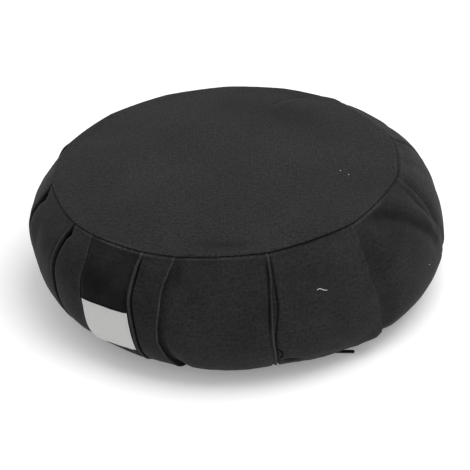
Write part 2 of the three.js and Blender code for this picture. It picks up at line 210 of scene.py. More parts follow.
# The label: the pleat to its left, bearing and level of its corners, how far it stands off the cloth, how
# far in it follows the cloth, and its thickness
LABEL = dict(
    sector=2,
    top_left=(-42.1, 0.41),
    top_right=(-27, 0.372),
    low_right=(-26.1, 0.615),
    low_left=(-41.8, 0.68),
    clearance=0.4,
    lowest=-0.5,
    thickness=0.8,
)


def smooth(value, low, high):
    """A step from 0 at low to 1 at high, level at both ends."""
    share = min(max((value - low) / (high - low), 0), 1)
    return share * share * (3 - 2 * share)


def lerp(a, b, share):
    return a + (b - a) * share


def bezier(a, b, c, d, s):
    return (1 - s) ** 3 * a + 3 * (1 - s) ** 2 * s * b + 3 * (1 - s) * s * s * c + s**3 * d


def peak(value, middle, spread):
    """1 at a middle value, dying out to both sides of it."""
    return math.exp(-(((value - middle) / spread) ** 2))


def side_values(bearing):
    """The side's girth radius, girth height and slope at the top seam, smooth all round."""
    count = len(SIDE)
    values = (0, 0, 0)
    for middle, row in SIDE.items():
        half = math.radians(bearing - middle) / 2
        near = abs(math.sin(half)) < 1e-9
        weight = 1 if near else math.sin(count * half) / (count * math.tan(half))
        values = [value + weight * read for value, read in zip(values, row)]
    return values


def seam_height(bearing):
    angle = math.radians(bearing)
    return SEAM_HEIGHT + SEAM_RISE_RIGHT * math.sin(angle) - SEAM_DROP_FRONT * math.cos(angle)


def fold_bearing(index, level):
    """The bearing of a folded edge at a level. An index past the last pleat is one turn on."""
    seam, shoulder, girth, base = PLEATS[index % SECTORS]["at"]
    turn = 360 * (index // SECTORS)
    if level < SHOULDER_LEVEL:
        return turn + lerp(seam, shoulder, math.sin(level / SHOULDER_LEVEL * math.pi / 2))
    if level < GIRTH_LEVEL:
        return turn + lerp(shoulder, girth, smooth(level, SHOULDER_LEVEL, GIRTH_LEVEL))
    share = (level - GIRTH_LEVEL) / (1 - GIRTH_LEVEL)
    return turn + lerp(girth, base, math.sin(share * math.pi / 2))


def seam_pull(bearing, radius, level):
    """How far the seam stands in from its round line: nothing at a pleat, most halfway to the next."""
    turned = (bearing - fold_bearing(0, level)) % 360 + fold_bearing(0, level)
    index = SECTORS - 1
    while index > 0 and fold_bearing(index, level) > turned:
        index -= 1
    start = fold_bearing(index, level)
    end = fold_bearing(index + 1, level)
    share = (turned - start) / (end - start)
    sagitta = radius * (1 - math.cos(math.radians(end - start) / 2))
    return SEAM_STRAIGHTENING * sagitta * 4 * share * (1 - share)


def side_profile(bearing, level):
    """The filled side without its pleats: radius and height at a bearing and a level."""
    top = seam_height(bearing) - RIM_DROP
    girth, girth_height, degrees = side_values(bearing)
    slope = math.radians(degrees)
    span = SHOULDER_REACH * math.hypot(girth - SEAM_RADIUS, top - girth_height)
    drop = girth_height - BASE_SEAM_HEIGHT
    if level < GIRTH_LEVEL:
        s = level / GIRTH_LEVEL
        return (
            bezier(SEAM_RADIUS, SEAM_RADIUS + span * math.cos(slope), girth, girth, s),
            bezier(top, top - span * math.sin(slope), girth_height + span, girth_height, s),
        )
    s = (level - GIRTH_LEVEL) / (1 - GIRTH_LEVEL)
    tuck_in = BASE_RADIUS + FOOT_REACH * (girth - BASE_RADIUS)
    low = BASE_SEAM_HEIGHT + FOOT_RISE * drop
    return (
        bezier(girth, girth, tuck_in, BASE_RADIUS, s),
        bezier(girth_height, girth_height - FOOT_REACH * drop, low, BASE_SEAM_HEIGHT, s),
    )


def place(bearing, radius, height):
    """A point in millimetres. The top of the cushion has slipped a little over its base."""
    angle = math.radians(bearing)
    return Vector((
        TOP_SHIFT[0] * height / SEAM_HEIGHT + radius * math.sin(angle),
        TOP_SHIFT[1] * height / SEAM_HEIGHT - radius * math.cos(angle),
        height,
    ))


def side_point(bearing, level, raised):
    """A point of the side, raised from it by a distance along its outward direction."""
    step = 0.004
    radius, height = side_profile(bearing, level)
    radius_above, height_above = side_profile(bearing, max(level - step, 0))
    radius_below, height_below = side_profile(bearing, min(level + step, 1))
    along = math.hypot(radius_below - radius_above, height_below - height_above)
    outward = (height_above - height_below) / along
    upward = (radius_below - radius_above) / along
    if level < SHOULDER_LEVEL:
        radius -= seam_pull(bearing, radius, level) * (1 - smooth(level, 0, SHOULDER_LEVEL))
    return place(bearing, radius + raised * outward, height + raised * upward)


def distance_along(point, line):
    """How far a point is from a broken line, and how far its nearest point is from the line's ends."""
    best = math.inf
    ends = 0
    for start, end in zip(line, line[1:]):
        run = end - start
        share = min(max((point - start).dot(run) / run.length_squared, 0), 1)
        gap = (point - start - run * share).length
        if gap < best:
            best = gap
            near = start + run * share
            ends = min((near - line[0]).length, (near - line[-1]).length)
    return best, ends


class Creases:
    """Soft troughs on a surface, each along a broken line, deep in its middle and dying out at its ends."""

    def __init__(self, rows, to_flat):
        self.rows = [([to_flat(*point) for point in along], *sizes) for along, *sizes in rows]

    def at(self, point):
        """How deep the troughs are at a point, and how much shade is painted along them."""
        deep = 0
        painted_shade_and_mottle = 0
        for line, width, depth, dark in self.rows:
            reach = 3 * width
            if min(p.x for p in line) - reach > point.x or max(p.x for p in line) + reach < point.x:
                continue
            if min(p.y for p in line) - reach > point.y or max(p.y for p in line) + reach < point.y:
                continue
            gap, ends = distance_along(point, line)
            share = peak(gap, 0, width) * (0.35 + 0.65 * smooth(ends, 0, 2.5 * width))
            deep += depth * share
            painted_shade_and_mottle += dark * share
        return deep, painted_shade_and_mottle


def band_flat(bearing, level):
    """A place on the band as if the band were laid out flat, in millimetres."""
    turned = (bearing + 180) % 360 - 180
    return Vector((math.radians(turned) * CREASE_RADIUS, level * CLOTH_FROM_TOP))


def uneven(point, size, height):
    """Unevenness of the cloth, of a size and height in millimetres."""
    return height * noise.noise(Vector(point) / size)


def pleat_strength(pleat, level, at_seam):
    """How strongly a pleat shows at a level: held flat in both seams, loose between them."""
    from_seam = lerp(at_seam, 1, smooth(level, 0, 0.09))
    to_base = lerp(1, pleat["low"], smooth(level, 0.3, 0.7))
    at_base = lerp(1, 0.35, smooth(level, 0.85, 1))
    return from_seam * to_base * at_base


def tuck_depth(pleat, level):
    mouth = 1 + pleat["mouth"] * peak(level, 0.12, 0.08)
    return pleat["tuck"] * pleat_strength(pleat, level, 0.35) * mouth


# How many steps the cloth takes along each stretch of its path from one fold to the next, and where on
# that path the pressed strip starts and the cloth turns under
PATH_STEPS = (3, 3, 4, 7, 7, 5, 4, 4, 4, 4, 3, 3, 3, 2)
STRIP_START = 8
NOSE = 11

# The cloth right of the sixth pleat has a small pucker at its foot, so it takes finer steps there
FINE_SECTOR = 5
FINE_STRETCH = 3
FINE_TIMES = 4


def sector_path(index, level):
    """The cloth from one folded edge to the next at a level, as distances to the right and outward.

    It starts deep under the first fold and ends under the next, where that sector's path starts.
    """
    pleat = PLEATS[index % SECTORS]
    following = PLEATS[(index + 1) % SECTORS]
    start = fold_bearing(index, level)
    end = fold_bearing(index + 1, level)
    radius = side_profile((start + end) / 2, level)[0]
    width = math.radians(end - start) * radius
    loose = smooth(level, 0, 0.1) * (1 - smooth(level, 0.88, 1))
    strength = pleat_strength(following, level, 0)
    tuck = tuck_depth(pleat, level)
    next_tuck = tuck_depth(following, level)
    fold = following["fold"] * strength
    lip = min(0.42 * (fold + next_tuck), 2.0)
    under = lerp(-0.8, 0.6 * (fold + next_tuck), loose)
    reach, next_reach = (min(each["reach"], 0.42 * width) for each in (pleat, following))
    rise = min(12, 0.3 * width)
    belly = following["belly"] * peak(level, 0.29, 0.15)
    strip = min(following["strip"] + belly, 0.2 * width)
    valley = min(1.8, 0.3 * (rise - strip))
    sunk = pleat["sink"] * peak(level, 0.2, 0.14)
    bulge = pleat["swell"] * loose - sunk
    beside = 0.7 * fold + 0.1 * bulge
    return start, radius, [
        # Out of the crevice, and over the cloth between the folds
        (min(1.2, 0.15 * reach) + 0.3, -tuck),
        (0.27 * reach + 0.2, -0.82 * tuck),
        (0.6 * reach, -0.25 * tuck + 0.3 * bulge),
        (reach, 0.75 * bulge),
        (0.5 * (reach + width - rise), bulge),
        (width - rise, lerp(bulge, beside, 0.4)),
        # The dip beside the pressed strip, and the strip
        (width - strip - 2.3 * valley, beside),
        (width - strip - valley, beside - following["dip"] * strength),
        (width - strip, fold - 0.1 * lip),
        (width - 0.5 * strip, fold),
        (width - 0.3, fold - 0.25 * lip),
        # Round the folded edge, and back in under it
        (width, fold - 0.55 * lip),
        (width - 1.2 * loose + 0.3 * (1 - loose), fold - lip),
        (width - under, -next_tuck),
        (width + min(1.2, 0.15 * next_reach) + 0.3, -next_tuck),
    ]


def spline(points, stretch, share):
    """A point of a smooth line through points, at a share of the way along one of its stretches."""
    a, b = points[stretch], points[stretch + 1]
    before = points[stretch - 1] if stretch else a
    after = points[stretch + 2] if stretch + 2 < len(points) else b
    step = math.dist(a, b)
    result = []
    for axis in (0, 1):
        slope_a = (b[axis] - before[axis]) / max(math.dist(b, before), 1e-6) * step
        slope_b = (after[axis] - a[axis]) / max(math.dist(after, a), 1e-6) * step
        value = a[axis] + (b[axis] - a[axis]) * share * share * (3 - 2 * share)
        value += slope_a * share * (1 - share) ** 2 - slope_b * share * share * (1 - share)
        result.append(value)
    return result


BAND_TROUGHS = Creases(BAND_CREASES, band_flat)
TOP_TROUGHS = Creases(TOP_CREASES, lambda x, y: Vector((x, y)))


def seam_strength(bearing, places):
    """How strongly the places of the top seam tell at a bearing. Each dies out to both sides."""
    strength = 0
    for middle, spread, most in places:
        strength += most * peak((bearing - middle + 180) % 360 - 180, 0, spread)
    return strength


def seam_roll(bearing, level):
    """The band's edges are rolled into both seams, deeper where the top seam gapes."""
    from_top = level * CLOTH_FROM_TOP
    from_base = (1 - level) * CLOTH_FROM_BASE
    gape = seam_strength(bearing, SEAM_GAPES)
    groove = (0.5 + gape) * peak(from_top, 0, 1.0 + 0.4 * gape)
    return 0.5 * peak(from_top, 2.6, 1.5) - groove - 1.2 * peak(from_base, 0, 1.6)


def pucker(from_seam, height, spread, held):
    """How high the puckers beside a seam are. The seam holds them flat close to its stitches."""
    return height * math.exp(-from_seam / spread) * (1 - math.exp(-from_seam / held))


def band_relief(bearing, level):
    """What the cloth does between its folds, and the painted shade there.

    There are troughs, puckers along the seams and broad unevenness. Painted shade lies along the troughs,
    and the tone is mottled at random.
    """
    flat = band_flat(bearing, level)
    angle = math.radians(bearing)
    around = (RELIEF_RADIUS * math.sin(angle), RELIEF_RADIUS * math.cos(angle), flat.y)
    loose = smooth(level, 0, 0.08) * (1 - smooth(level, 0.92, 1))
    puckers = pucker(level * CLOTH_FROM_TOP, 0.55, 9, 1.5)
    puckers += pucker((1 - level) * CLOTH_FROM_BASE, 0.8, 14, 2.0)
    ripple = noise.noise(Vector((around[0] / 7, around[1] / 7, flat.y / 40)))
    # The depth of the troughs, and the painted shade along them
    deep, painted_shade_and_mottle = BAND_TROUGHS.at(flat)
    relief = -deep * smooth(level, 0, 0.03) + puckers * ripple * 2
    relief += loose * (uneven(around, 55, 1.6) + uneven(around, 19, 0.45))
    return relief, painted_shade_and_mottle + uneven(around, 24, 0.45) + uneven(around, 8, 0.3)


def band_line(level):
    """One line round the band at a level, in and out of every pleat: points, lengths, wear with painted
    highlight, and painted light and shade.
    """
    line = []
    length = 0
    from_top = level * CLOTH_FROM_TOP
    stitched = peak(from_top, 1.5, 0.7)
    in_seam = peak(from_top, 0, 1.6)
    for index in range(SECTORS):
        start, radius, path = sector_path(index, level)
        following = PLEATS[(index + 1) % SECTORS]
        # The sector's painted light and shade, strongest near the girth
        painted_light_and_shade = PLEATS[index]["painted_light_and_shade"] * (0.6 + 0.4 * peak(level, 0.3, 0.14))
        plain = 1 - 0.85 * smooth(following["belly"], 0, 3)
        before = path[0]
        for stretch, steps in enumerate(PATH_STEPS):
            if (index, stretch) == (FINE_SECTOR, FINE_STRETCH):
                steps *= FINE_TIMES
            for step in range(steps):
                across, raised = spline(path, stretch, step / steps)
                length += math.dist(before, (across, raised))
                before = (across, raised)
                bearing = start + math.degrees(across / radius)
                along = stretch + step / steps
                on_strip = across - path[STRIP_START][0]
                crest = peak(on_strip, 0.4, 0.8) if abs(along - STRIP_START) < 1.5 else 0
                strip = smooth(along, STRIP_START - 0.3, STRIP_START + 0.2)
                strip *= 1 - smooth(along, NOSE - 0.5, NOSE)
                # The crest and pressed strip of the fold, and the band's edge under the top seam, are
                # painted paler: partly wear, partly a painted highlight
                highlight_and_wear = following["highlight_and_rub"] * max(crest, strip * plain)
                highlight_and_wear += stitched * seam_strength(bearing, SEAM_HIGHLIGHTS_AND_RUBS)
                relief, painted_shade_and_mottle = band_relief(bearing, level)
                # Painted light and shade: the sector's own, left off its pressed strip, less the painted
                # shade along the creases, with random mottling
                shade = painted_light_and_shade * (1 - smooth(along, STRIP_START - 0.6, STRIP_START)) - painted_shade_and_mottle
                # Painted shade in the seam's groove where it gapes
                shade -= 0.6 * (in_seam * max(seam_strength(bearing, SEAM_GAPES), 0))
                # Painted shade on the wide part of a bellied strip, beyond its crest
                shade -= 1.1 * (1 - plain) * strip * smooth(on_strip, 0.5, 1.3)
                point = side_point(bearing, level, raised + seam_roll(bearing, level) + relief)
                line.append((point, length, highlight_and_wear, shade))
        length += math.dist(before, path[-1])
    return line


def top_point(bearing, share, inset, below, relief=0):
    """A point of the top panel, at a share of the way out to the seam and a distance in from it."""
    seam = SEAM_RADIUS - seam_pull(bearing, SEAM_RADIUS, 0)
    crown = bpy.context.scene.cushion_sizes.crown / MM
    height = lerp(SEAM_HEIGHT, seam_height(bearing), share) + crown * (1 - share**2.4)
    point = place(bearing, seam * share - inset, height - below)
    if relief:
        point.z += relief * top_relief(bearing, point, seam * (1 - share) + inset)
    return point


def top_relief(bearing, point, from_seam):
    """What the top panel does besides its crown: dips, a crease and puckers along its seam."""
    angle = math.radians(bearing)
    troughs = -TOP_TROUGHS.at(point.xy)[0]
    ripple = noise.noise(Vector((math.sin(angle), math.cos(angle), 3)) * 22)
    broad = uneven((point.x, point.y, 40), 66, 1.4) + uneven((point.x, point.y, 90), 25, 0.2)
    return (troughs + broad) * smooth(from_seam, 0, 14) + pucker(from_seam, 0.35, 9, 1.5) * ripple


def linear(code):
    """A hex colour in sRGB as linear red, green and blue."""
    channels = [int(code[start : start + 2], 16) / 255 for start in (1, 3, 5)]
    return [c / 12.92 if c <= 0.04045 else ((c + 0.055) / 1.055) ** 2.4 for c in channels]


def add_node(tree, kind, settings=None, links=None, values=None):
    """Adds a node with its settings, the values of its sockets and the links into them."""
    node = tree.nodes.new(kind)
    for name, value in (settings or {}).items():
        setattr(node, name, value)
    for socket, value in (values or {}).items():
        node.inputs[socket].default_value = value
    for socket, source in (links or {}).items():
        tree.links.new(source, node.inputs[socket])
    return node


def new_material(name):
    material = bpy.data.materials.new(name)
    material.use_nodes = True
    material.node_tree.nodes.clear()
    return material, material.node_tree


def noise_texture(tree, vector, size, detail, roughness=0.5):
    """Noise of a size in metres."""
    values = {"Scale": 1 / size, "Detail": detail, "Roughness": roughness}
    return add_node(tree, "ShaderNodeTexNoise", links={"Vector": vector}, values=values).outputs["Fac"]


def wave_texture(tree, vector, direction, spacing, distortion, detail_scale=1.0):
    """Yarns side by side, at a spacing in metres."""
    settings = {"wave_type": "BANDS", "bands_direction": direction, "wave_profile": "SIN"}
    values = {"Scale": WAVE_SPACING / spacing, "Distortion": distortion, "Detail": 1.0}
    values["Detail Scale"] = detail_scale
    return add_node(tree, "ShaderNodeTexWave", settings, {"Vector": vector}, values).outputs["Fac"]


def arithmetic(tree, operation, *inputs, clamped=False):
    """A sum of sockets and plain numbers."""
    links = {slot: item for slot, item in enumerate(inputs) if isinstance(item, bpy.types.NodeSocket)}
    values = {slot: item for slot, item in enumerate(inputs) if slot not in links}
    settings = {"operation": operation, "use_clamp": clamped}
    return add_node(tree, "ShaderNodeMath", settings, links, values).outputs["Value"]


def ranged(tree, value, low, high, to_low, to_high):
    """A value brought from one range to another."""
    values = {"From Min": low, "From Max": high, "To Min": to_low, "To Max": to_high}
    return add_node(tree, "ShaderNodeMapRange", links={"Value": value}, values=values).outputs["Result"]


def attribute(tree, name):
    return add_node(tree, "ShaderNodeAttribute", {"attribute_name": name}).outputs["Fac"]


def cloth_uv(tree):
    return add_node(tree, "ShaderNodeUVMap", {"uv_map": "cloth"}).outputs["UV"]


def object_place(tree):
    return add_node(tree, "ShaderNodeTexCoord").outputs["Object"]


def finish_material(tree, height, strength, distance, values, links=None):
    """The shader over all the rest, with a bump of a strength and a distance in millimetres."""
    depth = {"Strength": strength, "Distance": distance * MM}
    bump = add_node(tree, "ShaderNodeBump", links={"Height": height}, values=depth)
    links = {"Normal": bump.outputs["Normal"], **(links or {})}
    shader = add_node(tree, "ShaderNodeBsdfPrincipled", links=links, values=values)
    add_node(tree, "ShaderNodeOutputMaterial", links={"Surface": shader.outputs["BSDF"]})


def cotton_canvas(name, colour, highlight_and_wear_colour, contrast):
    """Piece-dyed black cotton canvas: a plain weave of matt spun yarn, with short fibres standing off it.

    The fibres catch light at grazing angles. The folded edges and the seam edges are painted paler, partly
    for wear and partly as a painted highlight, and the painted light and shade kept on the cloth's points
    makes it darker or paler. The yarns are about 0.45 mm apart, and are drawn 1.3 mm apart so that the
    weave shows.
    """
    cloth = bpy.context.scene.cushion_cloth
    material, tree = new_material(name)
    uv = cloth_uv(tree)
    yarns = [wave_texture(tree, uv, direction, cloth.yarn_spacing, 0.8, 2.0) for direction in ("X", "Y")]
    weave = arithmetic(tree, "MULTIPLY", *yarns)
    slubs = noise_texture(tree, uv, 2.4 * MM, 3.0, 0.6)
    along_yarn = add_node(
        tree, "ShaderNodeMapping", links={"Vector": uv}, values={"Scale": (1 / (9 * MM), 1 / (2 * MM), 1)}
    )
    streaks = noise_texture(tree, along_yarn.outputs["Vector"], 1, 2.0)
    spun = arithmetic(tree, "MULTIPLY_ADD", streaks, 0.35, slubs)
    grain = arithmetic(tree, "MULTIPLY_ADD", weave, 0.4, spun)
    grain_shade = ranged(tree, grain, 0.53, 1.03, 1 - contrast, 1 + contrast)
    clouds = noise_texture(tree, object_place(tree), 45 * MM, 4.0, 0.55)
    cloud_shade = ranged(tree, clouds, 0.3, 0.7, 0.9, 1.1)
    # Painted light and shade from the cloth's points darkens or lightens the dyed colour
    painted_light_and_shade_factor = ranged(tree, attribute(tree, "painted_light_and_shade"), -2.2, 1.0, 0.12, 1.4)
    shade = arithmetic(tree, "MULTIPLY", arithmetic(tree, "MULTIPLY", grain_shade, cloud_shade), painted_light_and_shade_factor)
    # Wear and painted highlight: the folded edges and seam edges are mixed towards the paler colour
    slub_share = ranged(tree, slubs, 0.3, 0.7, 0.7, 1.1)
    highlight_and_wear_share = arithmetic(tree, "MULTIPLY", attribute(tree, "highlight_and_wear"), slub_share, clamped=True)
    colours = {6: (*colour, 1), 7: (*highlight_and_wear_colour, 1)}
    dyed = add_node(tree, "ShaderNodeMix", {"data_type": "RGBA"}, {0: highlight_and_wear_share}, colours)
    shaded = add_node(
        tree, "ShaderNodeVectorMath", {"operation": "SCALE"}, {0: dyed.outputs[2], "Scale": shade}
    )
    values = {
        "Roughness": 0.95,
        "Specular IOR Level": 0.12,
        "Sheen Weight": cloth.fuzz,
        "Sheen Roughness": 0.45,
        "Sheen Tint": (0.9, 0.9, 0.9, 1),
    }
    finish_material(tree, grain, 0.6, 0.4, values, {"Base Color": shaded.outputs["Vector"]})
    return material


def label_ribbon():
    """Woven polyester ribbon, pale grey: fine ribs across it and a slight gloss."""
    label = bpy.context.scene.cushion_label
    material, tree = new_material("label_ribbon")
    uv = cloth_uv(tree)
    ribs = wave_texture(tree, uv, "Y", 0.7 * MM, 0.5)
    fibres = noise_texture(tree, uv, 3 * MM, 3.0)
    height = arithmetic(tree, "MULTIPLY_ADD", fibres, 0.6, ribs)
    tone = ranged(tree, height, 0.1, 1.5, 0.93, 1.03)
    shaded = add_node(
        tree, "ShaderNodeVectorMath", {"operation": "SCALE"}, {"Scale": tone}, {0: label.colour}
    )
    values = {"Roughness": 0.6, "Specular IOR Level": 0.4, "Sheen Weight": 0.1}
    finish_material(tree, height, 0.35, 0.12, values, {"Base Color": shaded.outputs["Vector"]})
    return material


def spun_thread(name, colour, gloss=0.5):
    """Spun thread: fine twisted fibres, quite matt. Black thread, as in the painted shadow loop, needs
    little gloss, or it looks grey.
    """
    material, tree = new_material(name)
    fibres = noise_texture(tree, object_place(tree), 0.6 * MM, 2.0)
    values = {"Base Color": (*colour, 1), "Roughness": 0.8, "Specular IOR Level": gloss}
    finish_material(tree, fibres, 0.3, 0.08, values)
    return material


def stove_enamel():
    """Black enamel on a die-cast zinc zip pull: smooth and satin, with a faint orange peel."""
    material, tree = new_material("zip_enamel")
    peel = noise_texture(tree, object_place(tree), 1.5 * MM, 2.0)
    rough = ranged(tree, peel, 0, 1, 0.32, 0.5)
    values = {"Base Color": (*linear("#141415"), 1), "IOR": 1.5}
    finish_material(tree, peel, 0.2, 0.05, values, {"Roughness": rough})
    return material


def studio_paper(colour, glow):
    """Pale matt studio paper on a light table, so that the shadow under the cushion stays soft."""
    material, tree = new_material("studio_paper")
    fibres = noise_texture(tree, object_place(tree), 4 * MM, 3.0)
    values = {
        "Base Color": (*colour, 1),
        "Roughness": 0.9,
        "Specular IOR Level": 0.1,
        "Emission Color": (1, 1, 1, 1),
        "Emission Strength": glow,
    }
    finish_material(tree, fibres, 0.05, 0.1, values)
    return material


def add_piece(name, mesh, material, slot=None):
    """Adds a smooth object. One with a slot rides with the cushion."""
    mesh.polygons.foreach_set("use_smooth", [True] * len(mesh.polygons))
    mesh.materials.clear()
    mesh.materials.append(material)
    piece = bpy.data.objects.new(name, mesh)
    bpy.context.scene.collection.objects.link(piece)
    if slot:
        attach(piece, "root")
    return piece


def make_object(name, bm, material, slot=None):
    """Turns a bmesh in metres into a smooth object."""
    mesh = bpy.data.meshes.new(name)
    bm.to_mesh(mesh)
    bm.free()
    return add_piece(name, mesh, material, slot)


def wrap_grid(rows, heights):
    """A grid of cloth bent round the cushion, closed where it meets itself and at its middle points.

    rows runs from the lowest line up, each a list of (point, length along the cloth, wear with painted
    highlight, painted light and shade), and heights gives each line's place across the cloth. Points and
    lengths are in millimetres.
    """
    columns = len(rows[0])
    bm = bmesh.new()
    bmesh.ops.create_grid(bm, x_segments=columns, y_segments=len(rows) - 1, size=1)
    highlight_and_wear_layer = bm.verts.layers.float.new("highlight_and_wear")
    # Layers for the wear with painted highlight, and for the painted light and shade
    painted_light_and_shade_layer = bm.verts.layers.float.new("painted_light_and_shade")
    uv_layer = bm.loops.layers.uv.new("cloth")
    spots = {}
    for vert in bm.verts:
        column = round((vert.co.x + 1) / 2 * columns)
        row = round((vert.co.y + 1) / 2 * (len(rows) - 1))
        spots[vert] = (column, row)
    middle = rows[len(rows) // 2]
    around = [length for point, length, highlight_and_wear, painted_light_and_shade in middle]
    around.append(around[-1] + (middle[0][0] - middle[-1][0]).length)
    for face in bm.faces:
        for loop in face.loops:
            column, row = spots[loop.vert]
            loop[uv_layer].uv = (around[column] * MM, heights[row] * MM)
    for vert, (column, row) in spots.items():
        point, length, highlight_and_wear, painted_light_and_shade = rows[row][column % columns]
        vert.co = point * MM
        vert[highlight_and_wear_layer] = highlight_and_wear
        vert[painted_light_and_shade_layer] = painted_light_and_shade
    bmesh.ops.remove_doubles(bm, verts=bm.verts, dist=0.002 * MM)
    return bm


def make_panel(name, canvas, rows):
    """A round panel of cloth from its rings of points, its yarns laid straight across it."""
    cloth = bpy.context.scene.cushion_cloth
    bm = wrap_grid(rows, [0] * len(rows))
    uv_layer = bm.loops.layers.uv["cloth"]
    for face in bm.faces:
        for loop in face.loops:
            loop[uv_layer].uv = (loop.vert.co.x, loop.vert.co.y)
    material = cotton_canvas(canvas, cloth.panel_colour, cloth.highlight_and_wear_colour, PANEL_CONTRAST)
    return make_object(name, bm, material, "panel_cloth")


def running_lengths(line):
    """How far along a broken line each of its points is."""
    lengths = [0]
    for start, end in zip(line, line[1:]):
        lengths.append(lengths[-1] + (end - start).length)
    return lengths


def flat_ring(line, radius_at, height_at):
    """A plain line round the cushion under the band's points, for the hidden faces that close the body."""
    ring = []
    for point, length, highlight_and_wear, painted_light_and_shade in line:
        x = point.x - TOP_SHIFT[0] * point.z / SEAM_HEIGHT
        y = point.y - TOP_SHIFT[1] * point.z / SEAM_HEIGHT
        bearing = math.degrees(math.atan2(x, -y))
        ring.append((place(bearing, radius_at(bearing), height_at(bearing)), length, 0, 0))
    return ring


def colour_property(name, description, code):
    return FloatVectorProperty(name=name, description=description, default=linear(code), subtype="COLOR")


def number_property(name, description, default, **settings):
    return FloatProperty(name=name, description=description, default=default, **settings)


class CushionSizes(bpy.types.PropertyGroup):
    """Sizes of the dressed cushion"""

    crown: number_property("Crown", "Rise of the top panel above its seam", 8 * MM, unit="LENGTH")


class CushionCloth(bpy.types.PropertyGroup):
    """The cotton canvas"""

    band_colour: colour_property("Band colour", "Dyed colour of the pleated band", "#262626")
    panel_colour: colour_property("Panel colour", "Dyed colour of the top and base panels", "#272727")
    # The paler colour of the folded edges is partly wear and partly a painted highlight
    highlight_and_wear_colour: colour_property("Worn colour", "Colour of the rubbed folds", "#525252")
    yarn_spacing: number_property(
        "Yarn spacing",
        "Distance between yarns as drawn, wider than the real 0.45 mm so that it shows",
        1.3 * MM,
        unit="LENGTH",
    )
    fuzz: number_property(
        "Fuzz", "How strongly the short standing fibres catch light at grazing angles", 0.06, min=0, max=1
    )


class CushionLabel(bpy.types.PropertyGroup):
    """The blank label"""

    colour: colour_property("Label colour", "Colour of the woven ribbon", "#bdbdbc")
    stitch_pitch: number_property(
        "Stitch pitch", "Distance from one stitch to the next", 2.6 * MM, unit="LENGTH"
    )
    stitch_inset: number_property(
        "Stitch inset", "Distance of the stitches from the label's edge", 2.0 * MM, unit="LENGTH"
    )


class CushionStage(bpy.types.PropertyGroup):
    """Floor, light and camera"""

    floor_colour: colour_property("Floor colour", "Colour of the studio paper", "#f6f6f6")
    overhead_power: number_property(
        "Overhead power", "Power of the large softbox overhead", 16, unit="POWER"
    )
    side_power: number_property(
        "Side power",
        "Power of the softbox at the right and behind, which draws out the rim",
        1.3,
        unit="POWER",
    )
    sky: number_property("Sky", "Strength of the even light from all round", 0.68)
    glow: number_property("Glow", "Strength of the light that comes up through the floor", 0.2)


class CUSHION_OT_body(bpy.types.Operator):
    """Folds the pleated band and closes it round its filling"""

    bl_idname = "cushion.body"
    bl_label = "Pleated Body"

    # Lines round the band, how closely they crowd at both seams, and the width of the hidden shelves there
    lines = 108
    crowding = 0.85
    shelf = 4

    def execute(self, context):
        cloth = context.scene.cushion_cloth
        levels = []
        for step in range(self.lines + 1):
            share = step / self.lines
            level = 1 - (share - self.crowding * math.sin(2 * math.pi * share) / (2 * math.pi))
            levels.append(max(level, 0))
        band = [band_line(level) for level in levels]
        heights = running_lengths([place(0, *side_profile(0, level)) for level in levels])
        shelf = self.shelf
        under = PANEL_THICKNESS + PIECE_GAP
        half = SEAM_RADIUS * 0.5
        low, high = band[0], band[-1]
        rows = [
            flat_ring(low, lambda b: 0, lambda b: under),
            flat_ring(low, lambda b: BASE_RADIUS - shelf, lambda b: under),
            *band,
            flat_ring(high, lambda b: SEAM_RADIUS - shelf, lambda b: seam_height(b) - under - PIECE_GAP),
            flat_ring(high, lambda b: half, lambda b: lerp(SEAM_HEIGHT, seam_height(b), 0.5)),
            flat_ring(high, lambda b: 0, lambda b: SEAM_HEIGHT + PANEL_THICKNESS),
        ]
        heights = [heights[0] - BASE_RADIUS, heights[0] - shelf, *heights]
        heights += [heights[-1] + shelf, heights[-1] + half, heights[-1] + SEAM_RADIUS]
        bm = wrap_grid(rows, heights)
        material = cotton_canvas("band_canvas", cloth.band_colour, cloth.highlight_and_wear_colour, BAND_CONTRAST)
        body = make_object("cushion_body", bm, material, "band_cloth")
        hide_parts("pleated_body")
        return {"FINISHED"}


class CUSHION_OT_top_panel(bpy.types.Operator):
    """Lays the domed top panel and rolls its edge into the seam"""

    bl_idname = "cushion.top_panel"
    bl_label = "Top Panel"

    # The rolled edge from the seam's inside outward and over, as distances in from it and below it
    edge = [
        (3, 1.1), (0.5, 1.05), (0.1, 0.75), (0.05, 0.35), (0.3, 0), (0.8, -0.3), (1.5, -0.48), (2.4, -0.6)
    ]
    edge_start = 0.975
    per_sector = 30
    lines = 62

    def execute(self, context):
        bearings = []
        for index in range(SECTORS):
            start = fold_bearing(index, 0)
            end = fold_bearing(index + 1, 0)
            bearings += [lerp(start, end, step / self.per_sector) for step in range(self.per_sector)]
        rows = []
        for share in (0, 0.3, 0.6, 0.85):
            rows.append([(top_point(b, share, 0, PANEL_THICKNESS), 0, 0, 0) for b in bearings])
        for inset, below in self.edge:
            # The top panel's rolled edge is painted paler at the seam's highlight places: partly wear,
            # partly a painted highlight
            highlight_and_rub = 0.2 * peak(inset, 0, 1.2)
            relief = 1 if below < 0 else 0
            ring = []
            for bearing in bearings:
                highlight_and_wear = highlight_and_rub * seam_strength(bearing, SEAM_HIGHLIGHTS_AND_RUBS)
                ring.append((top_point(bearing, 1, inset, below, relief), 0, highlight_and_wear, 0))
            rows.append(ring)
        for step in range(self.lines, -1, -1):
            share = step / self.lines
            # The lines lie closer together towards the seam
            out = self.edge_start * (share * 1.35 - 0.35 * share * share)
            rim = 0.25 * smooth(out, 0.9, self.edge_start)
            line = [top_point(b, out, 0, -rim, 1) for b in bearings]
            # The top panel is painted darker along its troughs: painted shade
            rows.append([(point, 0, 0, -TOP_TROUGHS.at(point.xy)[1]) for point in line])
        panel = make_panel("top_cover", "panel_canvas", rows)
        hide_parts("top_panel")
        return {"FINISHED"}


